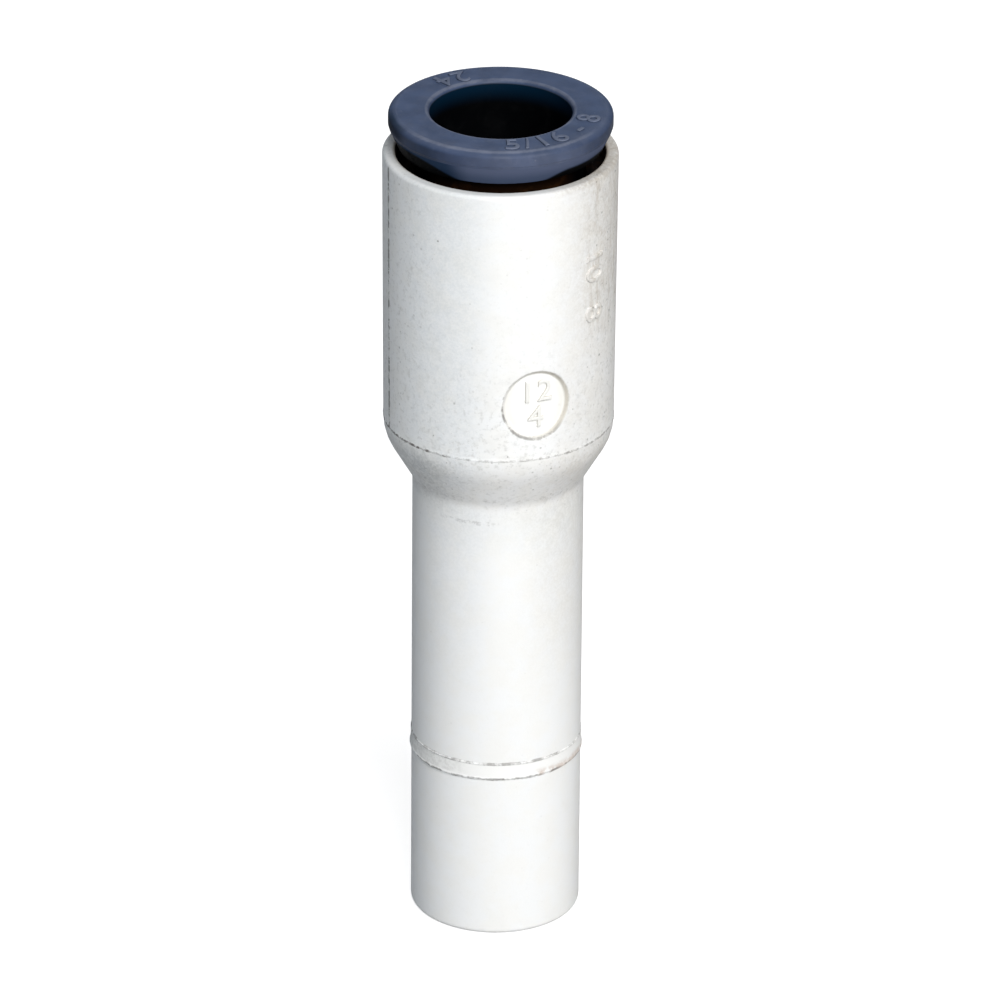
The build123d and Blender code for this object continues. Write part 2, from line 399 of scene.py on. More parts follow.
def turning_group():
    """Group that turns a section round the Z axis, with a parting bead down it and ragged flash on it."""
    name = "Turned section"
    if name in bpy.data.node_groups:
        return bpy.data.node_groups[name]
    tree = bpy.data.node_groups.new(name, "GeometryNodeTree")
    b = Bench(tree)
    b.socket("Section", "Geometry")
    b.socket("Columns", "Int", 128, low=8)
    b.numbers({"Crowding": 0.0, "Parting Angle": 0.0, "Parting Height": 0.0, "Parting Width": 0.00012,
               "Flash Height": 0.0, "Flash Patches": 1.0, "Seed": 3.0})
    b.socket("Solid", "Geometry", out=True)
    given = b.add("NodeGroupInput").outputs
    count = b.add("GeometryNodeAttributeDomainSize", {"Geometry": given["Section"]}).outputs["Point Count"]
    rows = b.plus(count, 1.0)
    columns = b.plus(given["Columns"], 1.0)
    grid = b.add("GeometryNodeMeshGrid", {
        "Size X": 1.0, "Size Y": 1.0, "Vertices X": rows, "Vertices Y": columns})
    place = b.add("ShaderNodeSeparateXYZ", {0: b.add("GeometryNodeInputPosition")})
    row = b.math("ROUND", b.times(b.plus(place.outputs[0], 0.5), count))
    row = b.math("FLOORED_MODULO", row, count)
    column = b.math("ROUND", b.times(b.plus(place.outputs[1], 0.5), given["Columns"]))
    turn = b.times(b.math("DIVIDE", column, given["Columns"]), 2 * pi)

    def sampled(value, kind):
        node = b.add("GeometryNodeSampleIndex", data_type=kind, domain="POINT")
        b.put(node.inputs["Geometry"], given["Section"])
        b.put(node.inputs["Index"], row)
        b.put(next(s for s in node.inputs if s.name == "Value" and s.enabled), value)
        return next(s for s in node.outputs if s.enabled)

    def named(label):
        return b.add("GeometryNodeInputNamedAttribute", {"Name": label}, data_type="FLOAT").outputs[0]

    point = b.add("ShaderNodeSeparateXYZ", {
        0: sampled(b.add("GeometryNodeInputPosition").outputs[0], "FLOAT_VECTOR")})
    radius, height = point.outputs[0], point.outputs[2]
    flash = sampled(named("flash"), "FLOAT")
    parting = sampled(named("parting"), "FLOAT")

    # Columns crowd towards the two parting lines, half a turn apart
    doubled = b.times(b.minus(turn, given["Parting Angle"]), 2.0)
    pull = b.times(given["Crowding"], 0.5, b.math("SINE", doubled))
    angle = b.minus(turn, pull)
    across, along = b.math("COSINE", angle), b.math("SINE", angle)

    # Bead down the parting line, broken along its length
    off = b.size(b.math("SINE", b.minus(angle, given["Parting Angle"])))
    bead = b.fall(b.times(off, radius), 0.0, b.times(given["Parting Width"], 0.5))
    upright = b.add("ShaderNodeTexNoise", {"Scale": 1.0, "Detail": 2.0}, noise_dimensions="1D")
    b.put(upright.inputs["W"], b.plus(b.times(height, 1400.0), given["Seed"]))
    broken = b.ramp(upright.outputs[0], 0.38, 0.62, 0.25, 1.0)
    bead = b.times(bead, broken, b.times(parting, given["Parting Height"]))

    # Ragged flash round the mould's rings
    spot = b.add("ShaderNodeCombineXYZ", {
        0: b.times(across, radius, 1000.0),
        1: b.times(along, radius, 1000.0),
        2: b.times(height, 1000.0)})
    ragged = b.add("ShaderNodeTexNoise", {
        "Vector": spot, "W": given["Seed"], "Scale": given["Flash Patches"], "Detail": 3.0,
        "Roughness": 0.6}, noise_dimensions="4D")
    lift = b.times(b.minus(ragged.outputs[0], 0.5), 2.0)
    lift = b.times(lift, flash, given["Flash Height"])

    radius = b.plus(radius, b.plus(bead, lift))
    position = b.add("ShaderNodeCombineXYZ", {
        0: b.times(radius, across), 1: b.times(radius, along), 2: height})
    moved = b.add("GeometryNodeSetPosition", {"Geometry": grid.outputs["Mesh"], "Position": position})
    closed = b.add("GeometryNodeMergeByDistance", {"Geometry": moved, "Distance": 1e-6})
    b.add("NodeGroupOutput", {"Solid": closed})
    return tree


def group_node(b, tree, sockets):
    """A node that uses a group, with its inputs set or linked."""
    kind = "GeometryNodeGroup" if tree.bl_idname == "GeometryNodeTree" else "ShaderNodeGroup"
    node = b.tree.nodes.new(kind)
    node.node_tree = tree
    for name, value in sockets.items():
        b.put(node.inputs[name], value)
    return node


def turned_tree(name, slotted=False):
    """Modifier tree for a turned piece; a slotted one has bars cut out of its sleeve."""
    if name in bpy.data.node_groups:
        return bpy.data.node_groups[name]
    group = turning_group()
    tree = bpy.data.node_groups.new(name, "GeometryNodeTree")
    tree.is_modifier = True
    b = Bench(tree)
    b.socket("Section", "Geometry")
    passed = [
        item for item in group.interface.items_tree
        if item.in_out == "INPUT" and item.name != "Section"]
    for item in passed:
        b.socket(item.name, item.socket_type.replace("NodeSocket", ""), item.default_value)
    b.socket("Material", "Material")
    if slotted:
        b.socket("Slots", "Int", 4, low=1)
        b.numbers({
            "Slot Width": 0.0008, "Slot Turn": 0.0, "Slot Foot": 0.0, "Slot Top": 0.0, "Slot Reach": 0.006})
    b.socket("Piece", "Geometry", out=True)
    given = b.add("NodeGroupInput").outputs
    wires = {item.name: given[item.name] for item in passed}
    wires["Section"] = given["Section"]
    solid = group_node(b, group, wires).outputs[0]
    if slotted:
        tall = b.minus(given["Slot Top"], given["Slot Foot"])
        size = b.add("ShaderNodeCombineXYZ", {0: given["Slot Reach"], 1: given["Slot Width"], 2: tall})
        bar = b.add("GeometryNodeMeshCube", {"Size": size})
        middle = b.times(b.plus(given["Slot Top"], given["Slot Foot"]), 0.5)
        shift = b.add("ShaderNodeCombineXYZ", {0: b.times(given["Slot Reach"], 0.5), 1: 0.0, 2: middle})
        bar = b.add("GeometryNodeTransform", {"Geometry": bar.outputs["Mesh"], "Translation": shift})
        bars = around(b, bar.outputs[0], given["Slots"], given["Slot Turn"])
        bars = b.add("GeometryNodeRealizeInstances", {0: bars})
        cut = b.add("GeometryNodeMeshBoolean", operation="DIFFERENCE")
        b.put(cut.inputs["Mesh 1"], solid)
        b.put(cut.inputs["Mesh 2"], bars)
        solid = cut.outputs["Mesh"]
    solid = b.add("GeometryNodeRealizeInstances", {0: solid})
    finished = b.add("GeometryNodeSetMaterial", {"Geometry": solid, "Material": given["Material"]})
    b.add("NodeGroupOutput", {0: finished})
    return tree


def around(b, part, count, start=0.0):
    """Copies of a part, set evenly round the Z axis."""
    points = b.add("GeometryNodePoints", {"Count": count, "Radius": 0.001})
    number = b.add("GeometryNodeInputIndex")
    turn = b.plus(b.times(b.math("DIVIDE", number.outputs[0], count), 2 * pi), start)
    spin = b.add("ShaderNodeCombineXYZ", {0: 0.0, 1: 0.0, 2: turn})
    return b.add("GeometryNodeInstanceOnPoints", {
        "Points": points, "Instance": part, "Rotation": spin}).outputs[0]


def repeat_tree(name):
    """Modifier tree that repeats one sector round the Z axis and welds the copies."""
    if name in bpy.data.node_groups:
        return bpy.data.node_groups[name]
    tree = bpy.data.node_groups.new(name, "GeometryNodeTree")
    tree.is_modifier = True
    b = Bench(tree)
    b.socket("Sector", "Geometry")
    b.socket("Count", "Int", 12, low=2)
    b.socket("Start", "Float", 0.0)
    b.socket("Material", "Material")
    b.socket("Piece", "Geometry", out=True)
    given = b.add("NodeGroupInput").outputs
    copies = around(b, given["Sector"], given["Count"], given["Start"])
    copies = b.add("GeometryNodeRealizeInstances", {0: copies})
    welded = b.add("GeometryNodeMergeByDistance", {"Geometry": copies, "Distance": 1e-6})
    finished = b.add("GeometryNodeSetMaterial", {"Geometry": welded, "Material": given["Material"]})
    b.add("NodeGroupOutput", {0: finished})
    return tree


def make_piece(source, tree, values, finish=None, other=None, on_other=None):
    """Runs a tree on the source, and leaves one plain mesh with outward faces and smooth shading.
    Faces whose middle passes on_other get the other material."""
    modifier = source.modifiers.new(tree.name, "NODES")
    modifier.node_group = tree
    keys = {item.name: item.identifier for item in tree.interface.items_tree if item.in_out == "INPUT"}
    for name, value in values.items():
        modifier[keys[name]] = value
    bpy.context.view_layer.update()
    shaped = source.evaluated_get(bpy.context.evaluated_depsgraph_get())
    mesh = bpy.data.meshes.new_from_object(shaped)
    source.modifiers.remove(modifier)
    plain = source.data
    source.data = mesh
    bpy.data.meshes.remove(plain)
    mesh.name = source.name
    bm = bmesh.new()
    bm.from_mesh(mesh)
    bmesh.ops.remove_doubles(bm, verts=bm.verts, dist=1e-6)
    if finish:
        finish(bm)
    bmesh.ops.recalc_face_normals(bm, faces=bm.faces)
    mesh.materials.clear()
    for material in (values["Material"], other):
        if material:
            mesh.materials.append(material)
    for face in bm.faces:
        face.smooth = True
        face.material_index = 1 if other and on_other(face.calc_center_median()) else 0
    bm.to_mesh(mesh)
    bm.free()
    mesh.set_sharp_from_angle(angle=radians(38))
    for label in [a.name for a in mesh.attributes if a.name in ("flash", "parting")]:
        mesh.attributes.remove(mesh.attributes[label])
    return source


def barrel_radius(height):
    """The barrel's radius in millimetres at a height in millimetres."""
    return RIM - DRAFT * (LENGTH - height)


def raise_numerals(bm, words, place, height, relief, soft, spread):
    """Raised numerals in a bmesh: place turns a point (along, up, out) of the flat words into its place."""
    curve = bpy.data.curves.new("numerals", "FONT")
    curve.body = words
    curve.size = height
    curve.extrude = relief
    curve.bevel_depth = relief * soft
    curve.bevel_resolution = 1
    curve.offset = -relief * soft * 0.6
    curve.space_character = spread
    curve.align_x = "CENTER"
    curve.align_y = "CENTER"
    curve.resolution_u = 5
    text = linked("numerals", curve)
    bpy.context.view_layer.update()
    mesh = bpy.data.meshes.new_from_object(text.evaluated_get(bpy.context.evaluated_depsgraph_get()))
    bpy.data.objects.remove(text)
    bpy.data.curves.remove(curve)
    flat = bmesh.new()
    flat.from_mesh(mesh)
    bmesh.ops.remove_doubles(flat, verts=flat.verts, dist=1e-7)
    for axis in (0, 1):
        low = min(v.co[axis] for v in flat.verts)
        high = max(v.co[axis] for v in flat.verts)
        normal = Vector((1, 0, 0)) if axis == 0 else Vector((0, 1, 0))
        for k in range(1, ceil((high - low) / NUMERAL_STEP)):
            bmesh.ops.bisect_plane(
                flat, geom=flat.verts[:] + flat.edges[:] + flat.faces[:], dist=1e-8,
                plane_co=normal * (low + k * NUMERAL_STEP), plane_no=normal)
    for vert in flat.verts:
        vert.co = place(*vert.co)
    flat.to_mesh(mesh)
    flat.free()
    bm.from_mesh(mesh)
    bpy.data.meshes.remove(mesh)


def on_barrel(turn, height, spin):
    """Places flat words on the barrel, in metres, turned from the front and spun in their plane."""
    def place(x, y, z):
        along = x * cos(spin) - y * sin(spin)
        up = x * sin(spin) + y * cos(spin)
        radius = barrel_radius((height + up) / MM) * MM
        angle = turn + along / radius
        radius += z
        return Vector((radius * sin(angle), -radius * cos(angle), height + up))
    return place


def press_insert(bm, look):
    """Swaps a window of the barrel's faces for rings that follow the recess's round edge."""
    turn, centre = look.insert_turn, INSERT_HEIGHT * MM
    outer = barrel_radius(INSERT_HEIGHT) * MM

    def flat(co):
        angle = (atan2(co.x, -co.y) - turn + pi) % (2 * pi) - pi
        return Vector((outer * sin(angle), co.z - centre)), angle

    half = WINDOW * MM
    inner_wall = 0.0062
    doomed = []
    for vert in bm.verts:
        radius = sqrt(vert.co.x ** 2 + vert.co.y ** 2)
        if radius < inner_wall or abs(vert.co.z - centre) > half - 1e-6:
            continue
        spot, angle = flat(vert.co)
        if abs(angle) < pi / 2 and abs(spot.x) < half:
            doomed.append(vert)
    bmesh.ops.delete(bm, geom=doomed, context="VERTS")
    rim = [e for e in bm.edges if e.is_boundary]
    border = {v for e in rim for v in e.verts}
    ordered = sorted(border, key=lambda v: atan2(flat(v.co)[0].y, flat(v.co)[0].x))
    floor = outer - look.insert_depth
    edge = look.insert_radius / MM
    # The edge's profile: how far from the recess's radius in millimetres, and how deep
    drop = (
        (-0.2, 1.0), (-0.15, 0.985), (-0.11, 0.93), (-0.07, 0.8), (-0.03, 0.6), (0.01, 0.38), (0.05, 0.18),
        (0.09, 0.06), (0.13, 0.015), (0.17, 0.0))
    steps = [(share * edge, 1.0) for share in (0.3, 0.6, 0.85)] + [(edge + off, deep) for off, deep in drop]

    def shaped(spot, deep, stretch=1.0):
        spot = Vector(
            (spot.x * (1 + (INSERT_WIDE - 1) * stretch), spot.y * (1 + (INSERT_TALL - 1) * stretch)))
        angle = turn + asin_of(spot.x / outer)
        wall = barrel_radius((centre + spot.y) / MM) * MM
        radius = wall + (floor - wall) * deep
        return Vector((radius * sin(angle), -radius * cos(angle), centre + spot.y))

    rings = []
    for reach, deep in steps:
        rings.append([
            bm.verts.new(shaped(flat(v.co)[0].normalized() * reach * MM, deep)) for v in ordered])
    last = steps[-1][0] * MM
    for share in (0.3, 0.65):
        ring = []
        for v in ordered:
            spot = flat(v.co)[0]
            ring.append(
                bm.verts.new(shaped((spot.normalized() * last).lerp(spot, share), 0.0, 1.0 - share)))
        rings.append(ring)
    rings.append(ordered)
    middle = bm.verts.new(shaped(Vector((0, 0)), 1.0))
    count = len(ordered)
    for k in range(count):
        bm.faces.new((middle, rings[0][k], rings[0][(k + 1) % count]))
        for inner, outer_ring in zip(rings, rings[1:]):
            n = (k + 1) % count
            bm.faces.new((inner[k], outer_ring[k], outer_ring[n], inner[n]))


def asin_of(value):
    """The arc sine, held at its ends."""
    return atan2(value, sqrt(max(0.0, 1 - value * value)))


def body_section():
    """The moulded body's section: bore, stem with its band, shoulder, barrel and the seats inside."""
    corner = SHOULDER_FOOT + (RIM - DRAFT * (LENGTH - SHOULDER_FOOT) - STEM) / (tan(SHOULDER_ANGLE) - DRAFT)
    barrel = [
        Corner(barrel_radius(SEAM - 0.05), SEAM - 0.05),
        Corner(barrel_radius(SEAM - 0.02) + 0.02, SEAM - 0.02, flash=0.5),
        Corner(barrel_radius(SEAM + 0.02) + 0.02, SEAM + 0.02, flash=0.5),
        Corner(barrel_radius(SEAM + 0.05), SEAM + 0.05, step=0.21, parting=1),
        Corner(barrel_radius(INSERT_HEIGHT - WINDOW), INSERT_HEIGHT - WINDOW, step=0.21, parting=1),
        Corner(barrel_radius(INSERT_HEIGHT + WINDOW), INSERT_HEIGHT + WINDOW, step=0.21, parting=1),
    ]
    return outline([
        Corner(STEM_BORE, 0.3, 0.1),
        Corner(STEM_BORE + 0.3, 0, 0.1),
        Corner(STEM, 0, 0.35, step=2.5),
        Corner(STEM, BAND_FOOT - 0.3),
        Corner(STEM, BAND_FOOT - 0.08),
        Corner(STEM, BAND_FOOT, 0.02, flash=0.2),
        Corner(STEM + 0.085, BAND_FOOT + 0.03, 0.03, flash=1),
        Corner(STEM + 0.09, BAND_FOOT + 0.13, 0.04, flash=0.8),
        Corner(STEM + 0.06, BAND_FOOT + 0.2, 0.03, step=0.12, flash=0.3),
        Corner(STEM + 0.015, BAND_TOP - 0.15, 0.03, flash=0.2),
        Corner(STEM + 0.045, BAND_TOP - 0.1, 0.02, flash=0.5),
        Corner(STEM + 0.045, BAND_TOP - 0.05, 0.02, flash=0.5),
        Corner(STEM, BAND_TOP, 0.02, flash=0.2),
        Corner(STEM, BAND_TOP + 0.08),
        Corner(STEM, BAND_TOP + 0.3, step=2.5),
        Corner(STEM, SHOULDER_FOOT, 1.25, step=0.4),
        Corner(barrel_radius(corner), corner, 3.0),
        *barrel,
        Corner(RIM, LENGTH, 0.25),
        Corner(MOUTH, LENGTH, 0.18),
        Corner(MOUTH, SNAP_TOP),
        Corner(MOUTH + SNAP, SNAP_TOP - SNAP),
        Corner(MOUTH + SNAP, SNAP_FOOT + SNAP),
        Corner(MOUTH, SNAP_FOOT),
        Corner(MOUTH, SHELF),
        Corner(GLAND, SHELF, 0.08),
        Corner(GLAND, GLAND_FOOT, 0.15),
        Corner(SOCKET + 0.3, GLAND_FOOT),
        Corner(SOCKET, GLAND_FOOT - 0.3),
        Corner(SOCKET, TUBE_STOP),
        Corner(STEM_BORE, TUBE_STOP, 0.1),
    ])


def release_section():
    """The release ring's section: nose, sleeve with its hook, cone and flange."""
    top = RELEASE_TOP
    nose = release_low.z / MM
    cone = top - 2.1
    return outline([
        Corner(PORT, nose, 0.08),
        Corner(PORT + 0.35, nose, 0.12),
        Corner(SLEEVE, nose + 0.6, 0.3),
        Corner(SLEEVE, HOOK_FOOT - HOOK, 0.2),
        Corner(SLEEVE + HOOK, HOOK_FOOT, 0.08),
        Corner(SLEEVE + HOOK, HOOK_TOP, 0.08),
        Corner(SLEEVE, HOOK_TOP, 0.05, step=0.8),
        Corner(SLEEVE, cone, 0.15),
        Corner(MOUTH - 0.15, cone, 0.12),
        Corner(FLANGE - 0.03, top - 0.98, 0.05),
        Corner(FLANGE - 0.01, top - 0.86, 0.02),
        Corner(FLANGE + 0.02, top - 0.82, 0.02, step=0.3),
        Corner(FLANGE + 0.02, top - 0.18, 0.3),
        Corner(FLANGE - 0.39, top, 0.12),
        Corner(PORT, top, 0.25, step=1.2),
    ])


def grip_sector(look):
    """One sector of the grip ring: its share of the flat rim, with one coned tooth."""
    half = pi / look.teeth
    gap = look.tooth_gap / MM / 2
    top = [
        (3.9, 42.477), (4.25, 42.771), (4.6, 43.064), (4.85, 43.272), (4.95, 43.35), (5.02, 43.39),
        (5.1, 43.4), (5.2, 43.4), (5.28, 43.4), (5.3, 43.4), (5.55, 43.4), (5.8, 43.4), (6.03, 43.4)]
    under = [
        (4.093, 42.247), (4.42, 42.522), (4.75, 42.798), (4.98, 42.992), (5.06, 43.057), (5.12, 43.09),
        (5.18, 43.1), (5.24, 43.1), (5.28, 43.1), (5.3, 43.1), (5.55, 43.1), (5.8, 43.1), (6.03, 43.1)]
    columns = 12

    def spread(radius):
        if radius >= TOOTH_ROOT + gap:
            return half
        past = radius - TOOTH_ROOT
        width = gap if past <= 0 else sqrt(max(0.0, gap * gap - past ** 2))
        return half - asin_of(width / radius)

    bm = bmesh.new()
    sheets = []
    for side in (top, under):
        sheets.append([
            [bm.verts.new((r * cos(a) * MM, r * sin(a) * MM, z * MM))
             for a in (spread(r) * (2 * c / columns - 1) for c in range(columns + 1))]
            for r, z in side])
    for sheet, flip in zip(sheets, (False, True)):
        for low, high in zip(sheet, sheet[1:]):
            for c in range(columns):
                face = (low[c], high[c], high[c + 1], low[c + 1])
                bm.faces.new(face[::-1] if flip else face)
    upper, lower = sheets
    for c in range(columns):
        bm.faces.new((upper[0][c], upper[0][c + 1], lower[0][c + 1], lower[0][c]))
        bm.faces.new((upper[-1][c + 1], upper[-1][c], lower[-1][c], lower[-1][c + 1]))
    for k in range(len(top) - 1):
        if top[k + 1][0] > TOOTH_ROOT + gap + 1e-6:
            break
        for c in (0, columns):
            bm.faces.new((upper[k][c], upper[k + 1][c], lower[k + 1][c], lower[k][c]))
    mesh = bpy.data.meshes.new("grip ring")
    bm.to_mesh(mesh)
    bm.free()
    return linked("stamped_grip_ring", mesh)


def shader_group(name, numbers, *outputs):
    """A shader node group with a place, named numbers and named outputs: its bench and its inputs."""
    b = Bench(bpy.data.node_groups.new(name, "ShaderNodeTree"))
    b.socket("Place", "Vector")
    b.numbers(numbers)
    for label in outputs:
        b.socket(label, "Float", out=True)
    return b, b.add("NodeGroupInput").outputs


def grain_group():
    """Fine moulded grain: a height for the bump and a light and dark value."""
    if "Moulded grain" in bpy.data.node_groups:
        return bpy.data.node_groups["Moulded grain"]
    b, given = shader_group(
        "Moulded grain", {"Fine": 9.0, "Coarse": 0.9, "Coarse Share": 0.5}, "Height", "Shade")
    fine = b.noise(given["Place"], given["Fine"], detail=4.0, roughness=0.65)
    coarse = b.noise(given["Place"], given["Coarse"], detail=3.0, roughness=0.55)
    height = b.plus(fine, b.times(coarse, given["Coarse Share"]))
    b.add("NodeGroupOutput", {"Height": height, "Shade": coarse})
    return b.tree


def speck_group():
    """Scattered specks: dust and pinholes, each a small blot in its own cell."""
    if "Specks" in bpy.data.node_groups:
        return bpy.data.node_groups["Specks"]
    b, given = shader_group("Specks", {"Per Millimetre": 2.0, "Share": 0.3, "Size": 0.25}, "Mask")
    bent = b.add("ShaderNodeTexNoise", {"Vector": given["Place"], "Scale": 6.0, "Detail": 2.0})
    pushed = b.add("ShaderNodeVectorMath", {
        0: bent.outputs["Color"], 1: (0.05, 0.05, 0.05)}, operation="MULTIPLY")
    place = b.add("ShaderNodeVectorMath", {0: given["Place"], 1: pushed.outputs[0]}, operation="ADD")
    cells = b.add("ShaderNodeTexVoronoi", {"Vector": place.outputs[0], "Scale": given["Per Millimetre"]})
    lot = b.add("ShaderNodeSeparateColor", {0: cells.outputs["Color"]})
    chosen = b.math("LESS_THAN", lot.outputs[0], given["Share"])
    reach = b.times(given["Size"], b.plus(b.times(lot.outputs[1], 0.8), 0.2))
    blot = b.fall(cells.outputs["Distance"], b.times(reach, 0.4), reach)
    faint = b.plus(b.times(lot.outputs[2], 0.7), 0.3)
    b.add("NodeGroupOutput", {"Mask": b.times(blot, chosen, faint)})
    return b.tree


def smudge_group():
    """Cloudy smudges: handling marks that fade at their edges."""
    if "Smudges" in bpy.data.node_groups:
        return bpy.data.node_groups["Smudges"]
    b, given = shader_group("Smudges", {"Per Millimetre": 0.35, "Start": 0.55, "Full": 0.75}, "Mask")
    cloud = b.noise(given["Place"], given["Per Millimetre"], detail=6.0, roughness=0.62, distortion=0.4)
    b.add("NodeGroupOutput", {"Mask": b.ramp(cloud, given["Start"], given["Full"])})
    return b.tree


def line_group():
    """Dirt or wear along a line: full at no distance, gone at the width, broken into dashes along it."""
    if "Broken line" in bpy.data.node_groups:
        return bpy.data.node_groups["Broken line"]
    b, given = shader_group("Broken line", {
        "Distance": 1.0, "Width": 0.06, "Per Millimetre": 1.2, "Start": 0.4, "Full": 0.62}, "Mask")
    breaks = b.noise(given["Place"], given["Per Millimetre"], detail=4.0, roughness=0.7)
    dashes = b.ramp(breaks, given["Start"], given["Full"])
    width = b.times(given["Width"], b.plus(b.times(dashes, 0.6), 0.4))
    near = b.fall(b.size(given["Distance"]), b.times(width, 0.25), width)
    b.add("NodeGroupOutput", {"Mask": b.times(near, dashes)})
    return b.tree


def grain_on(b, place, fine, coarse, share):
    return group_node(b, grain_group(), {
        "Place": place, "Fine": fine, "Coarse": coarse, "Coarse Share": share}).outputs


def specks_on(b, place, per_mm, share, size):
    return group_node(b, speck_group(), {
        "Place": place, "Per Millimetre": per_mm, "Share": share, "Size": size}).outputs[0]


def smudges_on(b, place, per_mm, start, full):
    return group_node(b, smudge_group(), {
        "Place": place, "Per Millimetre": per_mm, "Start": start, "Full": full}).outputs[0]


def broken_line(b, place, distance, width, per_mm, start, full):
    return group_node(b, line_group(), {
        "Place": place, "Distance": distance, "Width": width, "Per Millimetre": per_mm, "Start": start,
        "Full": full}).outputs[0]


def new_material(name):
    """A material with its bench, its shader, and the place in millimetres, whole and as x, y and z."""
    material = bpy.data.materials.new(name)
    material.use_nodes = True
    material.node_tree.nodes.clear()
    b = Bench(material.node_tree)
    shader = b.add("ShaderNodeBsdfPrincipled")
    b.add("ShaderNodeOutputMaterial", {"Surface": shader.outputs[0]})
    object_place = b.add("ShaderNodeTexCoord").outputs["Object"]
    place = b.add("ShaderNodeMapping", {"Vector": object_place, "Scale": (1000, 1000, 1000)}).outputs[0]
    return material, b, shader, place, b.split(place)


def surface(b, shader, tone, roughness, *heights):
    """Sets a shader's colour and roughness, and chains bumps: (height socket, depth in millimetres)."""
    b.put(shader.inputs["Base Color"], tone)
    b.put(shader.inputs["Roughness"], roughness)
    normal = None
    for height, depth in heights:
        node = b.add("ShaderNodeBump", {"Height": height, "Strength": 1.0, "Distance": depth * MM})
        if normal is not None:
            b.put(node.inputs["Normal"], normal)
        normal = node.outputs[0]
    b.put(shader.inputs["Normal"], normal)


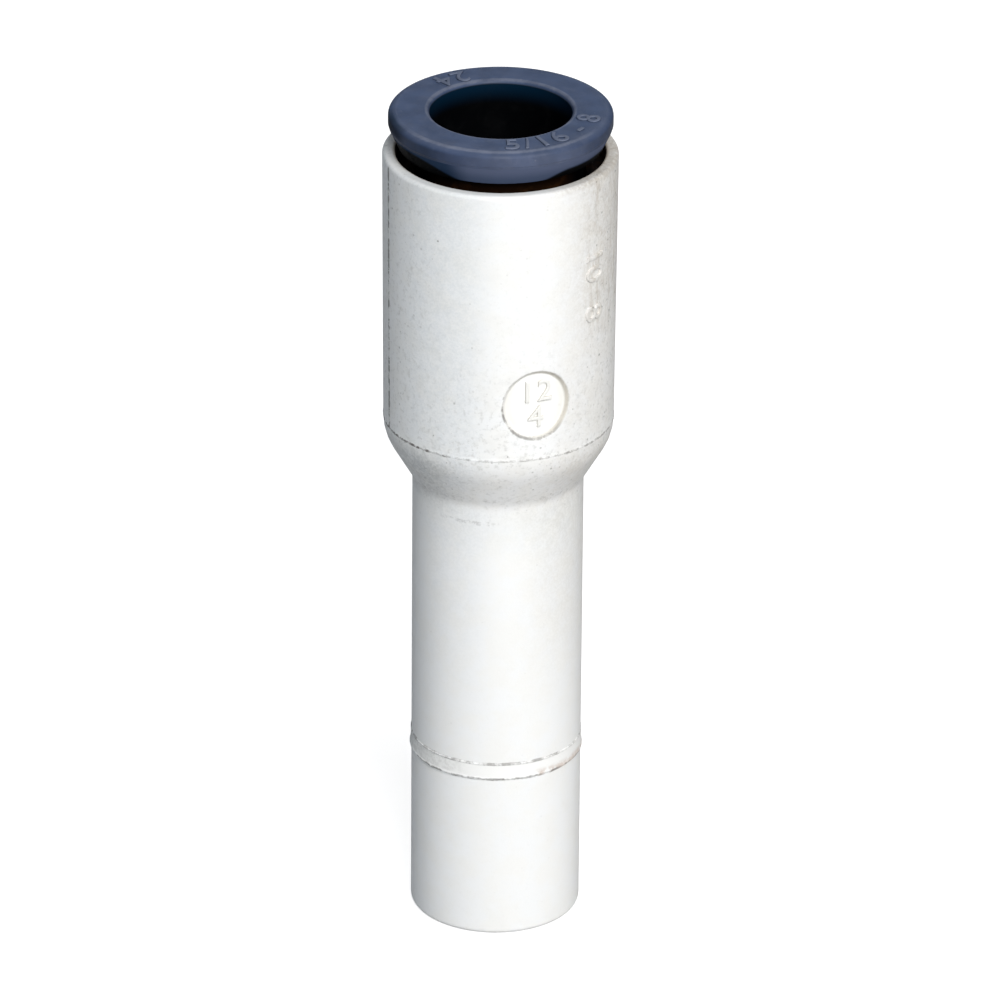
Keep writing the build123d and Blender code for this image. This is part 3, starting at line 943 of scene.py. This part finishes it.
def white_plastic(look):
    """Satin white moulding with grain, dust, smudges, dirt in its seams, and painted shade and highlights.
    """
    material, b, shader, place, (x, y, z) = new_material("white moulded plastic")
    radius = b.reach(x, y)
    outside = b.math("GREATER_THAN", radius, 4.7)
    grain = grain_on(b, place, fine=7.0, coarse=0.7, share=0.6)

    # Base: white, a little warmer and cooler in patches
    warm = toned(look.plastic, 1.0, 0.99, 0.97)
    tone = b.mix(b.ramp(grain["Shade"], 0.35, 0.65), rgba(look.plastic), warm)

    # A mottled film that is dirt and painted shade: cool on the barrel's left and warm on its right and
    # upper right, on the stem's sides and just under the shoulder, and thicker on the shoulder, darkest
    # towards its left
    cloud = b.noise(place, 1.6, detail=5.0, roughness=0.65)
    grit = b.noise(place, 6.0, detail=3.0, roughness=0.7)
    mottled = b.plus(b.ramp(cloud, 0.35, 0.65, 0.4, 0.69), b.ramp(grit, 0.38, 0.62, 0.0, 0.42))
    on_barrel = b.times(b.ramp(z, 27.0, 31.0), outside)
    cone = b.times(b.window(z, 27.2, 28.4, 30.8, 32.2), outside)
    upper_right = b.times(b.ramp(z, 37.0, 44.0), b.ramp(x, 3.6, 6.0))
    on_stem = b.times(b.window(z, 11.0, 25.0, 27.4, 28.4), outside)
    for where, amount, colour in (
            (b.times(on_barrel, b.window(x, -6.3, -4.8, -2.4, 0.2)), 0.9, (0.85, 0.87, 0.885)),
            (b.times(on_barrel, b.ramp(x, 1.8, 5.2)), 0.9, (0.88, 0.865, 0.845)),
            (b.times(on_barrel, upper_right), 0.9, (0.87, 0.85, 0.825)),
            (b.times(on_stem, b.ramp(x, 0.4, 3.6)), 0.8, (0.86, 0.85, 0.83)),
            (b.times(on_stem, b.window(x, -4.6, -3.6, -2.0, 0.2)), 0.6, (0.88, 0.89, 0.9)),
            (b.times(on_stem, b.ramp(z, 24.0, 26.8)), 0.9, (0.94, 0.945, 0.945)),
            (b.times(cone, b.fall(x, -4.6, -1.2)), 1.0, (0.72, 0.73, 0.74)),
            (b.times(cone, b.ramp(x, 0.5, 5.0, 0.4)), 0.7, (0.86, 0.83, 0.8))):
        tone = b.shade(tone, colour, where, amount, mottled, clamp=True)

    # Faint smudges, and grey flecks low on the barrel, on the shoulder and down the left side
    low_barrel = b.times(b.ramp(z, 26.5, 29.0), b.ramp(z, 32.0, 40.0, 1.0, 0.15))
    smudge = smudges_on(b, place, per_mm=0.7, start=0.48, full=0.8)
    smudged = b.times(smudge, b.plus(low_barrel, 0.15), outside)
    tone = b.tint(tone, (0.5, 0.495, 0.48), smudged, 0.2)
    fleck = b.noise(place, 3.4, detail=3.0, roughness=0.7)
    sides = b.times(on_barrel, b.most(b.ramp(x, -6.0, -2.0, 0.7, 0.0), b.ramp(x, 4.0, 6.0, 0.0, 0.9)))
    where = b.most(b.times(low_barrel, 0.7), sides)
    flecks = b.times(b.ramp(fleck, 0.5, 0.72), b.plus(where, 0.06))
    tone = b.tint(tone, (0.4, 0.4, 0.38), flecks, outside, 0.46)

    # Specks of two sizes
    fine = specks_on(b, place, per_mm=2.6, share=0.46, size=0.27)
    large = specks_on(b, place, per_mm=0.55, share=0.6, size=0.07)
    by_numerals = b.times(b.ramp(x, 4.2, 5.0), b.ramp(z, 37.0, 39.5), b.fall(y, 0.0, 1.0))
    dust_and_light_share = b.plus(b.times(smudge, 0.35), b.most(where, b.times(by_numerals, 1.4)))
    drawn = b.add("ShaderNodeMapping", {"Vector": place, "Scale": (1.0, 1.0, 0.3)}).outputs[0]
    streak = b.noise(drawn, 2.2, detail=5.0, roughness=0.7)
    streak = b.times(
        b.ramp(streak, 0.46, 0.66), b.ramp(x, 4.4, 5.6), b.ramp(z, 37.0, 40.5), outside,
        b.fall(y, 0.0, 1.0))
    tone = b.tint(tone, (0.5, 0.45, 0.39), streak, 0.6)
    specks = b.times(fine, dust_and_light_share)
    specks = b.most(specks, b.times(large, b.ramp(z, 25.0, 30.0, 0.25, 1.0)))
    tone = b.tint(tone, (0.24, 0.235, 0.225), specks, 0.8, clamp=True)

    # The band is painted a touch brighter, a painted highlight, but for its left part, painted greyer and
    # mottled as painted shade and grime; it is brown at its foot on the right
    band = b.window(z, BAND_FOOT + 0.1, BAND_FOOT + 0.2, BAND_TOP - 0.2, BAND_TOP - 0.1)
    left_part = b.times(b.fall(x, -3.0, -1.4), outside)
    tone = b.tint(tone, (0.9, 0.9, 0.885), band, 0.8)
    shaded_band = b.times(band, left_part, b.ramp(fleck, 0.4, 0.6, 0.3, 1.0))
    tone = b.tint(tone, (0.6, 0.6, 0.58), shaded_band, 0.5)
    rusty = b.times(
        b.ramp(z, BAND_FOOT + 0.55, BAND_FOOT + 0.15), b.ramp(z, BAND_FOOT - 0.1, BAND_FOOT),
        b.ramp(x, 1.4, 2.6), b.ramp(cloud, 0.4, 0.6))
    tone = b.tint(tone, (0.5, 0.38, 0.31), rusty, 0.6)

    # The rim is stained on the right
    rim = b.times(b.ramp(z, LENGTH - 0.5, LENGTH - 0.1), b.ramp(x, 1.0, 5.5), mottled)
    tone = b.tint(tone, (0.42, 0.38, 0.33), rim, 0.55, clamp=True)

    # Dirt along the seam at the barrel's foot, down the parting line, round the band and round the insert
    seam = broken_line(b, place, b.minus(z, SEAM), width=0.13, per_mm=2.8, start=0.34, full=0.64)
    seam_share = b.most(b.ramp(x, -5.0, -1.0, 1.5, 0.6), b.ramp(x, 0.5, 5.0, 0.6, 1.0))
    across = b.minus(b.times(x, sin(look.parting_angle)), b.times(y, cos(look.parting_angle)))
    parting = broken_line(b, place, across, width=0.18, per_mm=1.9, start=0.4, full=0.54)
    fine_parting = broken_line(b, place, across, width=0.14, per_mm=4.0, start=0.1, full=0.6)
    on_barrel_only = b.window(z, SEAM - 0.1, SEAM, LENGTH - 0.3, LENGTH - 0.1)
    along_parting = b.most(b.times(parting, 1.2), b.times(fine_parting, 0.45))
    dirt = b.most(b.times(seam, seam_share), b.times(along_parting, on_barrel_only))
    # Two faint dotted lines of dirt: where the shoulder runs out into the stem, and just below it
    shoulder_line = broken_line(
        b, place, b.minus(z, SHOULDER_LINE), width=0.4, per_mm=3.0, start=0.46, full=0.7)
    lower_line = broken_line(b, place, b.minus(z, STEM_LINE), width=0.22, per_mm=3.0, start=0.44, full=0.66)
    lower_share = b.times(b.ramp(x, -3.6, -2.8), b.ramp(x, -0.4, 0.4, 0.35, 0.0))
    dirt = b.most(dirt, b.times(shoulder_line, 0.3), b.times(lower_line, lower_share))
    for height, width, amount in ((BAND_FOOT + 0.04, 0.17, 1.0), (BAND_TOP - 0.04, 0.13, 0.9)):
        ring = broken_line(b, place, b.minus(z, height), width=width, per_mm=1.5, start=0.36, full=0.64)
        dirt = b.most(dirt, b.times(ring, amount))
    turned = b.add("ShaderNodeMapping", {"Vector": place, "Rotation": (0, 0, -look.insert_turn)})
    centred = b.split(turned)
    across_insert = b.math("DIVIDE", centred[0], INSERT_WIDE)
    up = b.math("DIVIDE", b.minus(z, INSERT_HEIGHT), INSERT_TALL)
    from_edge = b.minus(b.reach(across_insert, up), look.insert_radius / MM)
    insert = broken_line(b, place, b.minus(from_edge, 0.06), width=0.13, per_mm=1.5, start=0.38, full=0.6)
    facing = b.times(b.math("LESS_THAN", centred[1], 0.0), outside)
    floor = b.times(facing, b.fall(from_edge, -0.2, -0.05))
    wall = b.times(facing, b.fall(b.size(b.plus(from_edge, 0.02)), 0.04, 0.17))
    wall = b.times(wall, b.ramp(b.plus(centred[0], b.times(up, 0.25)), -1.5, 1.2, 0.5, 1.5))
    # The recess floor is painted a touch brighter: a painted highlight
    tone = b.tint(tone, (0.9, 0.9, 0.88), floor, 0.85)
    beige = b.times(floor, b.ramp(from_edge, -0.75, -0.15), b.ramp(b.size(across_insert), 0.9, 1.6))
    tone = b.tint(tone, (0.78, 0.75, 0.67), beige, 0.4)
    # The numerals on the floor are tinted beige-grey, dirt and painted shade, and the recess wall is painted
    # tan as painted shade, heavier to the right and up
    above_floor = b.minus(radius, barrel_radius(INSERT_HEIGHT) - look.insert_depth / MM)
    stroke = b.times(b.ramp(above_floor, 0.01, 0.03), b.ramp(above_floor, 0.1, 0.125, 1.0, 0.3))
    stroke = b.times(stroke, facing, b.fall(from_edge, -0.55, -0.35))
    tone = b.tint(tone, (0.6, 0.575, 0.5), stroke, 0.7)
    tone = b.tint(tone, (0.55, 0.51, 0.43), wall, 0.5)
    lower_left = b.ramp(b.plus(centred[0], up), -2.2, 0.6, 1.0, 0.25)
    settled = broken_line(b, place, b.minus(from_edge, 0.05), width=0.12, per_mm=2.2, start=0.2, full=0.6)
    settled = b.times(settled, b.ramp(up, -1.9, -1.0, 0.85, 0.0))
    insert_dirt = b.times(b.most(b.times(insert, lower_left), settled), facing)
    dirt = b.times(b.most(dirt, insert_dirt), outside)
    tone = b.tint(tone, look.grime, dirt, look.grime_amount, clamp=True)

    # Brown dirt on the mouth's inner edge, and painted shade inside the mouth: near black with a brown tint
    inner = b.ramp(z, 46.0, 46.5)
    edge = b.times(b.fall(radius, MOUTH + 0.05, MOUTH + 0.26), inner)
    tone = b.tint(tone, (0.33, 0.27, 0.19), edge, 0.5)
    mouth = b.times(b.fall(radius, MOUTH + 0.005, MOUTH + 0.06), inner)
    tone = b.tint(tone, (0.04, 0.02, 0.007), mouth, 0.97)

    shader.inputs["Specular IOR Level"].default_value = 0.4
    shader.inputs["IOR"].default_value = 1.5
    eaten = b.most(specks, dirt)
    roughness = b.plus(b.ramp(grain["Shade"], 0.3, 0.7, 0.4, 0.52), b.times(eaten, 0.2))
    surface(b, shader, tone, roughness, (grain["Height"], 0.006), (eaten, -0.012))
    return material


def blue_plastic(look):
    """Satin blue-grey moulding with dust, pale edges of wear and painted highlight, painted light and shade
    on its band, and painted shade inside the bore.
    """
    material, b, shader, place, (x, y, z) = new_material("blue-grey moulded plastic")
    radius = b.reach(x, y)
    top = RELEASE_TOP
    grain = grain_on(b, place, fine=8.0, coarse=0.8, share=0.4)
    deep = toned(look.plastic, 0.82, 0.82, 0.82)
    tone = b.mix(b.ramp(grain["Shade"], 0.35, 0.65), deep, rgba(look.plastic))

    # The flat face is paler than the sides
    level = b.times(b.ramp(z, top - 0.2, top - 0.02), b.ramp(radius, PORT + 0.1, PORT + 0.25))
    tone = b.shade(tone, (1.75, 1.57, 1.37), level)

    # Dust and pale scuffs
    smudge = smudges_on(b, place, per_mm=1.1, start=0.4, full=0.85)
    specks = specks_on(b, place, per_mm=2.6, share=0.3, size=0.22)
    dust = b.plus(b.times(smudge, 0.07), b.times(specks, 0.14))
    tone = b.tint(tone, (0.36, 0.36, 0.42), dust)

    # Painted light and shade on the band: a faint pale tint of dust and painted light at the front, painted
    # shade round the sides and deepest towards its left end, and a fainter pale tint on the front of the
    # face's edge
    side = b.math("DIVIDE", x, radius)
    front = b.fall(y, -2.8, -0.8)
    wall = b.times(b.fall(z, top - 0.4, top - 0.16), b.ramp(radius, 5.2, 5.6))
    dust_and_light_share = b.times(b.window(side, -0.66, 0.1, 0.6, 0.92), front)
    shaded_band = b.times(b.minus(1.0, dust_and_light_share), wall)
    tone = b.shade(tone, (0.42, 0.46, 0.52), shaded_band, 0.8)
    tone = b.tint(tone, (0.38, 0.36, 0.38), dust_and_light_share, wall, 0.07)
    shadowed = b.times(b.window(side, -0.86, -0.74, -0.66, -0.5), wall)
    tone = b.shade(tone, (0.4, 0.55, 0.62), shadowed, 0.6)
    far_left = b.times(
        b.fall(side, -0.93, -0.83), b.fall(y, -1.5, 0.5), b.ramp(radius, FLANGE - 0.36, FLANGE - 0.16),
        b.ramp(z, top - 0.9, top - 0.6))
    tone = b.shade(tone, (0.1, 0.25, 0.32), far_left, 0.85)
    nearer = b.times(b.ramp(radius, 5.0, 5.9), front, b.ramp(z, top - 0.3, top - 0.1))
    tone = b.tint(tone, (0.38, 0.37, 0.4), nearer, 0.03)

    # Pale edges, partly wear and partly painted highlight: where the flange's face rounds over, strongest at
    # the front, and round the mouth of the bore
    toward_front = b.ramp(y, -4.4, -2.6, 1.0, 0.12)
    for at, height, share, width in (
            (FLANGE - 0.36, top - 0.01, toward_front, 0.24),
            (PORT + 0.16, top - 0.02, 1.0, 0.2)):
        far = b.reach(b.minus(z, height), b.minus(radius, at))
        pale_edge = broken_line(b, place, far, width=width, per_mm=0.8, start=0.05, full=0.7)
        tone = b.tint(tone, (0.36, 0.37, 0.42), pale_edge, share, 0.28)

    # The raised numerals are painted dark at their foot, painted shade, and pale on top, wear and a painted
    # highlight
    foot = b.window(z, top + 0.004, top + 0.015, top + 0.03, top + 0.05)
    tone = b.tint(tone, (0.01, 0.013, 0.02), foot, 0.85)
    tone = b.tint(tone, (0.36, 0.37, 0.42), b.ramp(z, top + 0.055, top + 0.065, 0.0, 0.2))

    # Painted shade: the bore is dark inside, and so is the cone down in the mouth
    inside = b.times(b.math("LESS_THAN", radius, PORT + 0.08), b.fall(z, top - 0.27, top - 0.14))
    hidden = b.ramp(z, top - 2.12, top - 1.75, 0.95, 0.0)
    shade = b.most(inside, hidden)
    tone = b.tint(tone, (0.0012, 0.007, 0.013), shade)
    satin = b.ramp(grain["Shade"], 0.3, 0.7, 0.52, 0.66)
    matt = b.most(shade, b.times(far_left, 0.8))
    shader.inputs["Specular IOR Level"].default_value = 0.35
    surface(b, shader, tone, b.plus(satin, b.times(matt, 0.4)), (grain["Height"], 0.007), (specks, 0.01))
    return material


def shaded_plastic(look):
    """The same moulding with little sheen and painted shade: down the bore, on the cone and on the sleeve
    below it, which has old lubricant on it.
    """
    material, b, shader, place, (x, y, z) = new_material("shaded blue-grey plastic")
    top = RELEASE_TOP
    grain = grain_on(b, place, fine=8.0, coarse=0.8, share=0.4)
    smudge = smudges_on(b, place, per_mm=0.9, start=0.45, full=0.8)
    radius = b.reach(x, y)
    # Painted shade: near black deep down, dark blue near the top
    depth = b.ramp(z, top - 1.5, top - 0.25)
    tone = b.mix(depth, (0.0004, 0.0006, 0.001, 1.0), (0.0012, 0.012, 0.029, 1.0))
    tone = b.tint(tone, (0.05, 0.05, 0.05), smudge, 0.04)

    # The cone is painted blue where it is lit, at the front and more dimly at the back, paler towards its
    # top and painted darker on its left front; elsewhere it stays near black as the painted shadow of the
    # flange, which climbs higher towards the sides
    side = b.math("DIVIDE", x, radius)
    limit = b.math("MINIMUM", b.ramp(side, -0.8, -0.3, 1.15, 2.15), b.ramp(side, 0.35, 0.65, 2.15, 1.6))
    over = b.minus(b.minus(top, z), limit)
    lit_cone = b.times(b.fall(over, -0.12, 0.12), b.fall(y, -2.2, -0.6))
    lit_cone = b.most(lit_cone, b.ramp(y, 0.5, 3.0, 0.0, 0.6))
    cone = b.times(b.math("GREATER_THAN", radius, 5.2), b.ramp(z, top - 2.15, top - 2.05))
    upper = toned(look.plastic, 2.05, 1.6, 1.28)
    lower = toned(look.plastic, 1.3, 1.12, 0.95)
    blue = b.mix(b.ramp(z, top - 1.9, top - 1.1), lower, upper)
    blue = b.shade(blue, (0.2, 0.33, 0.42), b.fall(side, -0.52, -0.26), b.fall(y, -1.0, 0.0))
    tone = b.mix(b.times(lit_cone, cone), tone, blue)

    # The sleeve below it is brown with old lubricant
    sleeve = b.times(b.math("GREATER_THAN", radius, 4.5), b.fall(z, top - 2.3, top - 2.1))
    brown = b.times(sleeve, b.ramp(smudge, 0.0, 0.6, 0.4, 1.0), b.fall(b.size(x), 3.4, 4.4))
    tone = b.tint(tone, (0.028, 0.011, 0.003), brown)
    shader.inputs["Specular IOR Level"].default_value = 0.03
    surface(b, shader, tone, b.ramp(grain["Shade"], 0.3, 0.7, 0.6, 0.8), (grain["Height"], 0.007))
    return material


def black_plastic(look):
    """Matt black moulding with brown dirt caught on it."""
    material, b, shader, place, _ = new_material("black moulded plastic")
    grain = grain_on(b, place, fine=6.0, coarse=0.9, share=0.5)
    smudge = smudges_on(b, place, per_mm=0.8, start=0.42, full=0.7)
    tone = b.mix(b.times(smudge, 0.8), rgba(look.retainer), (0.03, 0.014, 0.007, 1.0))
    shader.inputs["Specular IOR Level"].default_value = 0.1
    surface(b, shader, tone, b.ramp(grain["Shade"], 0.3, 0.7, 0.5, 0.7), (grain["Height"], 0.01))
    return material


def natural_plastic(look):
    """Natural acetal, faintly cloudy."""
    material, b, shader, place, _ = new_material("natural moulded plastic")
    grain = grain_on(b, place, fine=5.0, coarse=0.6, share=0.5)
    pale = toned(look.spacer, 1.08, 1.08, 1.08)
    tone = b.mix(b.ramp(grain["Shade"], 0.35, 0.65), rgba(look.spacer), pale)
    specks = specks_on(b, place, per_mm=2.0, share=0.2, size=0.2)
    tone = b.tint(tone, (0.25, 0.22, 0.18), specks, 0.4)
    surface(b, shader, tone, b.ramp(grain["Shade"], 0.3, 0.7, 0.38, 0.5), (grain["Height"], 0.006))
    return material


def black_rubber(look):
    """Moulded rubber with a bloom of dust and its own parting line."""
    material, b, shader, place, (_, _, z) = new_material("black moulded rubber")
    grain = grain_on(b, place, fine=12.0, coarse=1.2, share=0.4)
    bloom = smudges_on(b, place, per_mm=0.9, start=0.4, full=0.8)
    middle = (seal_low.z + seal_high.z) / 2 / MM
    line = broken_line(b, place, b.minus(z, middle), width=0.06, per_mm=0.8, start=0.2, full=0.5)
    tone = b.mix(b.times(bloom, 0.3), rgba(look.rubber), (0.09, 0.09, 0.088, 1.0))
    roughness = b.ramp(grain["Shade"], 0.3, 0.7, 0.5, 0.68)
    surface(b, shader, tone, roughness, (grain["Height"], 0.006), (line, 0.02))
    return material


def stamped_steel(look):
    """Stamped stainless strip: rolling lines along one way."""
    material, b, shader, place, _ = new_material("stamped stainless steel")
    stretched = b.add("ShaderNodeMapping", {"Vector": place, "Scale": (0.6, 14.0, 14.0)})
    rolled = b.noise(stretched, 1.0, detail=4.0, roughness=0.6)
    dark = toned(look.steel, 0.72, 0.72, 0.72)
    tone = b.mix(b.ramp(rolled, 0.35, 0.65), dark, rgba(look.steel))
    shader.inputs["Metallic"].default_value = 1.0
    surface(b, shader, tone, b.ramp(rolled, 0.3, 0.7, 0.24, 0.4), (rolled, 0.003))
    return material


def dress(piece, body, node, slot):
    """Hides the solid that a finished piece stands for and hangs the piece on the body it rides on; slot,
    meant to name its finish, is not used.
    """
    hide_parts(node)
    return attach(piece, body)


class MakeBody(bpy.types.Operator):
    """Turns the moulded body, presses its insert and raises its plain size numerals"""
    bl_idname = "stem_reducer.make_body"
    bl_label = "Moulded body"

    def execute(self, context):
        look = context.scene.reducer_body

        def finish(bm):
            press_insert(bm, look)
            turn, height = look.insert_turn, INSERT_HEIGHT * MM
            floor = barrel_radius(INSERT_HEIGHT) * MM - look.insert_depth
            for words, up in ((look.mould_number, 0.00078), (look.cavity_number, -0.00082)):
                def in_recess(x, y, z, up=up):
                    angle, out = turn + x / floor, floor + z
                    return Vector((out * sin(angle), -out * cos(angle), height + up + y))
                raise_numerals(bm, words, in_recess, **INSERT_NUMERALS)
            for words, at in ((look.tube_size, 0.0402), (look.stem_size, 0.0432)):
                raise_numerals(bm, words, on_barrel(BARREL_TURN, at, radians(-90)), **BARREL_NUMERALS)

        piece = section_object("moulded_body", body_section())
        make_piece(piece, turned_tree("Moulded body"), {
            "Columns": look.columns, "Crowding": 0.86, "Parting Angle": look.parting_angle,
            "Parting Height": look.parting_height, "Flash Height": look.flash_height,
            "Flash Patches": look.flash_patches, "Seed": 7.0, "Material": white_plastic(look)}, finish)
        dress(piece, "fitting", "body", "white_body")
        return {"FINISHED"}


class MakeReleaseRing(bpy.types.Operator):
    """Turns the release ring, cuts its slots and raises the tube size on its flange"""
    bl_idname = "stem_reducer.make_release_ring"
    bl_label = "Release ring"

    def execute(self, context):
        look = context.scene.reducer_release
        top = RELEASE_TOP * MM
        middle = (PORT + FLANGE) / 2 * MM

        def finish(bm):
            for words, turn, at in (
                    (look.tube_sizes, 41.0, middle), (look.mould_number, -146.0, middle - 0.00018)):
                def place(x, y, z, turn=radians(turn), at=at):
                    angle = turn + x / at
                    return Vector(((at - y) * sin(angle), -(at - y) * cos(angle), top - 0.00001 + z))
                raise_numerals(bm, words, place, **FLANGE_NUMERALS)

        # Faces down the bore and below the flange take the shaded material, with painted shade
        def in_the_dark(spot):
            radius = sqrt(spot.x ** 2 + spot.y ** 2) / MM
            below_flange = spot.z < top - 0.00101
            return spot.z < top - 0.00024 and radius < PORT + 0.03 or below_flange

        piece = section_object("turned_release_ring", release_section())
        make_piece(piece, turned_tree("Release ring", slotted=True), {
            "Columns": look.columns, "Material": blue_plastic(look), "Slots": look.slots,
            "Slot Width": look.slot_width, "Slot Turn": look.slot_turn, "Slot Foot": release_low.z - MM / 2,
            "Slot Top": top - SLOT_DROP, "Slot Reach": SLOT_REACH}, finish, shaded_plastic(look),
            in_the_dark)
        dress(piece, "release", "release_ring", "blue_grey_ring")
        return {"FINISHED"}


class MakeInnerRings(bpy.types.Operator):
    """Turns the retaining ring, spacer and seal, and stamps the grip ring"""
    bl_idname = "stem_reducer.make_inner_rings"
    bl_label = "Inner rings"

    def execute(self, context):
        look = context.scene.reducer_inner
        outer = retaining_high.x / MM - SNAP
        top, foot = retaining_high.z / MM, retaining_low.z / MM
        retainer = [
            Corner(SLEEVE + 0.65, foot, 0.06), Corner(outer, foot, 0.06), Corner(outer, foot + 1.6),
            Corner(outer + SNAP, foot + 1.7, 0.04), Corner(outer + SNAP, foot + 2.5, 0.04),
            Corner(outer, foot + 2.6), Corner(outer, top, 0.06), Corner(SLEEVE + 0.45, top, 0.05),
            Corner(SLEEVE + 0.15, top - 0.3, 0.05), Corner(SLEEVE + 0.15, top - 1.0, 0.05),
            Corner(SLEEVE + 0.65, top - 1.0, 0.08)]
        low, high, wide = spacer_low.z / MM, spacer_high.z / MM, spacer_high.x / MM
        spacer = [
            Corner(SPACER_BORE, low, 0.08), Corner(wide, low, 0.08), Corner(wide, high, 0.08),
            Corner(5.2, high, 0.06), Corner(SPACER_BORE, low + 0.8, 0.12)]
        low, high, wide = seal_low.z / MM, seal_high.z / MM, seal_high.x / MM
        seal = [
            Corner(SEAL_BORE, low, 0.8), Corner(wide, low, 0.15),
            Corner(wide, high, 0.15), Corner(SEAL_BORE, high, 0.8)]
        tree = turned_tree("Inner ring")
        for node, corners, material, slot in (
                ("retaining_ring", retainer, black_plastic(look), "black_retainer"),
                ("spacer_ring", spacer, natural_plastic(look), "natural_spacer"),
                ("seal_ring", seal, black_rubber(look), "black_seal")):
            piece = section_object("turned_" + node, outline(corners))
            make_piece(piece, tree, {"Columns": look.columns, "Material": material})
            dress(piece, "fitting", node, slot)
        steel = stamped_steel(look)
        grip = make_piece(grip_sector(look), repeat_tree("Stamped grip ring"), {
            "Count": look.teeth, "Start": pi / look.teeth, "Material": steel})
        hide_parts("grip_ring")
        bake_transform(grip, "fitting", "release", start=(0, 0, 0.0431), end=(0, 0, 0.0422))
        return {"FINISHED"}


class MakeStage(bpy.types.Operator):
    """Lays the pale floor and sets the camera and the soft lights"""
    bl_idname = "stem_reducer.make_stage"
    bl_label = "Stage"

    def execute(self, context):
        look = context.scene.reducer_stage
        scene = context.scene

        mesh = bpy.data.meshes.new("floor")
        mesh.from_pydata([(-3, -3, 0), (3, -3, 0), (3, 3, 0), (-3, 3, 0)], [], [(0, 1, 2, 3)])
        floor = linked("floor", mesh)
        material = bpy.data.materials.new("pale floor")
        material.use_nodes = True
        material.node_tree.nodes.clear()
        b = Bench(material.node_tree)
        # The camera sees the floor glow, so that it stays pale; the fitting gets only its soft bounce
        seen = b.add("ShaderNodeBsdfPrincipled", {
            "Base Color": rgba(look.floor), "Roughness": 0.9, "Emission Color": (1.0, 1.0, 1.0, 1.0),
            "Emission Strength": look.floor_glow})
        bounce = b.add("ShaderNodeBsdfDiffuse", {"Color": (look.floor_bounce,) * 3 + (1.0,)})
        camera_ray = b.add("ShaderNodeLightPath").outputs["Is Camera Ray"]
        both = b.add("ShaderNodeMixShader", {0: camera_ray, 1: bounce, 2: seen})
        b.add("ShaderNodeOutputMaterial", {"Surface": both})
        mesh.materials.append(material)

        def lamp(name, power, size, turn, rise, far, colour):
            light = bpy.data.lights.new(name, "AREA")
            light.shape = "DISK"
            light.size = size
            light.energy = power
            light.color = colour
            lit = linked(name, light)
            towards = Vector((sin(turn) * cos(rise), -cos(turn) * cos(rise), sin(rise)))
            lit.location = Vector((0, 0, 0.03)) + towards * far
            lit.rotation_mode = "QUATERNION"
            lit.rotation_quaternion = towards.to_track_quat("Z", "Y")
            return lit

        lamp("key light", look.key, 0.58, radians(18), radians(38), 1.0, (1.0, 0.995, 0.985))
        lamp("left light", look.left, 0.4, radians(-82), radians(18), 0.7, (0.55, 0.78, 1.0))
        lamp("right light", look.right, 0.4, radians(86), radians(18), 0.7, (1.0, 0.86, 0.7))
        # The low light behind lights the far side, and puts no sheen on the flange's flat face
        behind = lamp("back light", look.back, 0.45, radians(180), radians(16), 1.0, (0.97, 0.98, 1.0))
        behind.visible_glossy = False

        world = bpy.data.worlds.new("soft sky")
        scene.world = world
        world.use_nodes = True
        sky = world.node_tree.nodes["Background"]
        sky.inputs[0].default_value = (0.8, 0.9, 1.0, 1.0)
        sky.inputs[1].default_value = look.sky

        camera = bpy.data.cameras.new("photo camera")
        camera.sensor_width = 36
        camera.lens = look.camera_lens
        camera.clip_start = 0.01
        view = linked("photo camera", camera)
        rise = look.camera_rise
        view.rotation_mode = "QUATERNION"
        place = Vector((0, 0, 0.025)) + look.camera_distance * Vector((0, -cos(rise), sin(rise)))
        facing = Vector((0, cos(rise), -sin(rise))).to_track_quat("-Z", "Y").to_matrix().to_4x4()
        lean = (Matrix.Rotation(-look.aim_right, 4, "Y") @ Matrix.Rotation(look.aim_up, 4, "X")
                @ Matrix.Rotation(look.camera_roll, 4, "Z"))
        view.matrix_world = Matrix.Translation(place) @ facing @ lean
        scene.camera = view
        scene.view_settings.view_transform = "Standard"
        return {"FINISHED"}


class ReducerPanel(bpy.types.Panel):
    """Stem reducer's pieces and their sizes"""
    bl_idname = "VIEW3D_PT_stem_reducer"
    bl_label = "Stem reducer"
    bl_space_type = "VIEW_3D"
    bl_region_type = "UI"
    bl_category = "Stem reducer"

    def draw(self, context):
        layout = self.layout
        for operator, look in STEPS:
            layout.operator(operator.bl_idname)
            group = getattr(context.scene, look)
            for name in group.bl_rna.properties.keys():
                if name not in ("rna_type", "name"):
                    layout.prop(group, name)


STEPS = (
    (MakeStage, "reducer_stage"),
    (MakeBody, "reducer_body"),
    (MakeReleaseRing, "reducer_release"),
    (MakeInnerRings, "reducer_inner"),
)
LOOKS = (
    ("reducer_stage", StageLook),
    ("reducer_body", BodyLook),
    ("reducer_release", ReleaseLook),
    ("reducer_inner", InnerLook),
)


def register():
    for name, look in LOOKS:
        bpy.utils.register_class(look)
        setattr(bpy.types.Scene, name, PointerProperty(type=look))
    for operator, _ in STEPS:
        bpy.utils.register_class(operator)
    bpy.utils.register_class(ReducerPanel)


def unregister():
    bpy.utils.unregister_class(ReducerPanel)
    for operator, _ in STEPS:
        bpy.utils.unregister_class(operator)
    for name, look in LOOKS:
        delattr(bpy.types.Scene, name)
        bpy.utils.unregister_class(look)


def main():
    register()
    bpy.ops.stem_reducer.make_stage()
    bpy.ops.stem_reducer.make_body()
    bpy.ops.stem_reducer.make_release_ring()
    bpy.ops.stem_reducer.make_inner_rings()


if __name__ == "__main__":
    main()
